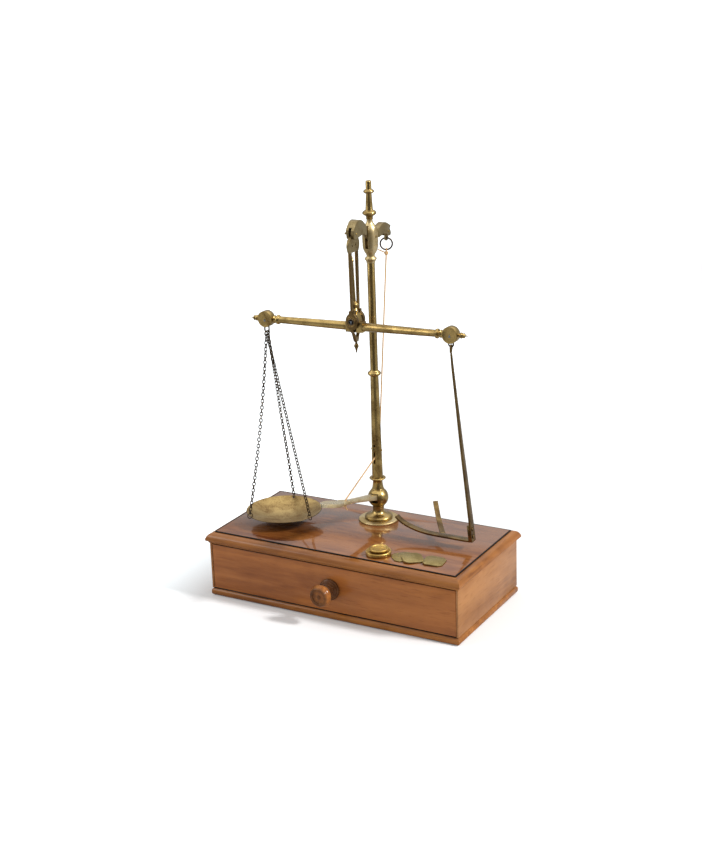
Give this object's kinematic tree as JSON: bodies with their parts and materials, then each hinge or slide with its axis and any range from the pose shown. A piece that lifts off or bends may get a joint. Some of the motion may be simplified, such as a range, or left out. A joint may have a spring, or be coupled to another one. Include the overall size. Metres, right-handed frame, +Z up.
{
  "type": "apothecary pillar beam scale",
  "caption": "Pillar beam scale on a mahogany drawer box, with lifting lever and cord, chained brass pan, glass-dish cradle and loose weights.",
  "frame": {"origin": "centre of the underside of the drawer box", "axes": "+X to the right along the drawer front, +Y to the back, +Z up the pillar"},
  "size_m": [0.3078, 0.1749, 0.4485],
  "materials": {
    "mahogany_case": "french polished",
    "mahogany_top": "high gloss",
    "ebonised_line": "polished",
    "drawer_lining": "bare",
    "turned_knob": "polished",
    "brass": "aged, lacquered",
    "weight_brass": "aged",
    "steel": "dark, worn",
    "twine": "twisted"
  },
  "bodies": {
    "stand": {"base_board": "mahogany_case", "carcase_sides": "mahogany_case", "back_board": "mahogany_case", "top_panel": "mahogany_top", "top_stringing": "ebonised_line", "top_moulding": "mahogany_case", "pillar_stud": "steel", "pillar_nut": "steel", "flange_plate": "brass", "pillar_foot": "brass", "lever_pin": "steel", "column_lower": "brass", "pulley_pin": "steel", "column_upper": "brass", "pillar_head": "brass", "rocker_pin": "steel", "finial": "brass", "lift_cord_front": "twine"},
    "drawer": {"drawer_front": "mahogany_case", "drawer_sides": "drawer_lining", "drawer_back": "drawer_lining", "drawer_bottom": "drawer_lining", "drawer_knob": "turned_knob"},
    "lever": {"lever": "brass", "lever_knot": "twine"},
    "rocker": {"rocker": "brass", "fork_pins": "steel"},
    "shears": {"shears_shield": "brass", "shears_leg_front": "brass", "shears_leg_back": "brass", "shears_bearings": "steel", "shears_stirrup": "brass"},
    "lift_link": {"tongue": "steel", "iron_ring": "steel", "cord_knot": "twine", "lift_cord_rear": "twine"},
    "pulley": {"pulley": "brass"},
    "beam": {"beam_block": "brass", "beam_arms": "brass", "beam_knives": "steel", "end_box_left": "brass", "end_box_right": "brass", "end_finials": "brass", "pointer": "brass"},
    "left_suspension": {"left_links": "steel", "brass_pan": "brass", "pan_rings": "steel", "chain_front": "steel", "chain_right": "steel", "chain_back": "steel"},
    "right_suspension": {"right_link": "steel", "hanger_strip": "brass", "hanger_rivets": "brass", "cradle_strip": "brass", "back_prong": "brass"},
    "disc_weight_large": {"weight_disc_large": "weight_brass"},
    "disc_weight_small": {"weight_disc_small": "weight_brass"},
    "plate_weight_1": {"weight_plate_1": "weight_brass"},
    "plate_weight_2": {"weight_plate_2": "weight_brass"},
    "plate_weight_3": {"weight_plate_3": "weight_brass"}
  },
  "joints": [
    {"name": "drawer_slide", "type": "slide", "parent": "stand", "child": "drawer", "axis": [0, -1, 0], "range_m": [0, 0.11]},
    {"name": "lever_hinge", "type": "hinge", "parent": "stand", "child": "lever", "pos_m": [0, 0.0382, 0.1001], "axis": [1, 0, 0], "range_deg": [0, 12], "deforming": ["lift_cord_front"]},
    {"name": "rocker_hinge", "type": "hinge", "parent": "stand", "child": "rocker", "pos_m": [0, 0.0382, 0.3901], "axis": [-1, 0, 0], "range_deg": [0, 14.4]},
    {"name": "shears_pivot", "type": "hinge", "parent": "rocker", "child": "shears", "pos_m": [0, 0.0017, 0.3995], "axis": [1, 0, 0], "range_deg": [0, 14.4]},
    {"name": "lift_link_pivot", "type": "hinge", "parent": "rocker", "child": "lift_link", "pos_m": [0, 0.073, 0.3889], "axis": [1, 0, 0], "range_deg": [0, 14.4]},
    {"name": "pulley_spin", "type": "hinge", "parent": "stand", "child": "pulley", "pos_m": [0, 0.0382, 0.155], "axis": [-1, 0, 0], "range_deg": [0, 96]},
    {"name": "beam_tilt", "type": "hinge", "parent": "shears", "child": "beam", "pos_m": [0, 0.0017, 0.3065], "axis": [0, 1, 0], "range_deg": [-0.8, 2.5]},
    {"name": "left_swing", "type": "hinge", "parent": "beam", "child": "left_suspension", "pos_m": [-0.1099, 0.0017, 0.3006], "axis": [0, 1, 0], "range_deg": [-6, 6]},
    {"name": "right_swing", "type": "hinge", "parent": "beam", "child": "right_suspension", "pos_m": [0.11005, 0.0017, 0.3054], "axis": [0, 1, 0], "range_deg": [-5, 5]},
    {"name": "disc_large_lift", "type": "slide", "parent": "stand", "child": "disc_weight_large", "axis": [0, 0, 1], "range_m": [0, 0.04]},
    {"name": "disc_small_lift", "type": "slide", "parent": "disc_weight_large", "child": "disc_weight_small", "axis": [0, 0, 1], "range_m": [0, 0.04]},
    {"name": "plate_1_lift", "type": "slide", "parent": "stand", "child": "plate_weight_1", "axis": [0, 0, 1], "range_m": [0, 0.03]},
    {"name": "plate_2_lift", "type": "slide", "parent": "plate_weight_1", "child": "plate_weight_2", "axis": [0, 0, 1], "range_m": [0, 0.03]},
    {"name": "plate_3_lift", "type": "slide", "parent": "plate_weight_2", "child": "plate_weight_3", "axis": [0, 0, 1], "range_m": [0, 0.03]}
  ],
  "couplings": [
    {"joint": "rocker_hinge", "follows": "lever_hinge", "ratio": 1.2},
    {"joint": "shears_pivot", "follows": "lever_hinge", "ratio": 1.2},
    {"joint": "lift_link_pivot", "follows": "lever_hinge", "ratio": 1.2},
    {"joint": "pulley_spin", "follows": "lever_hinge", "ratio": 8}
  ]
}
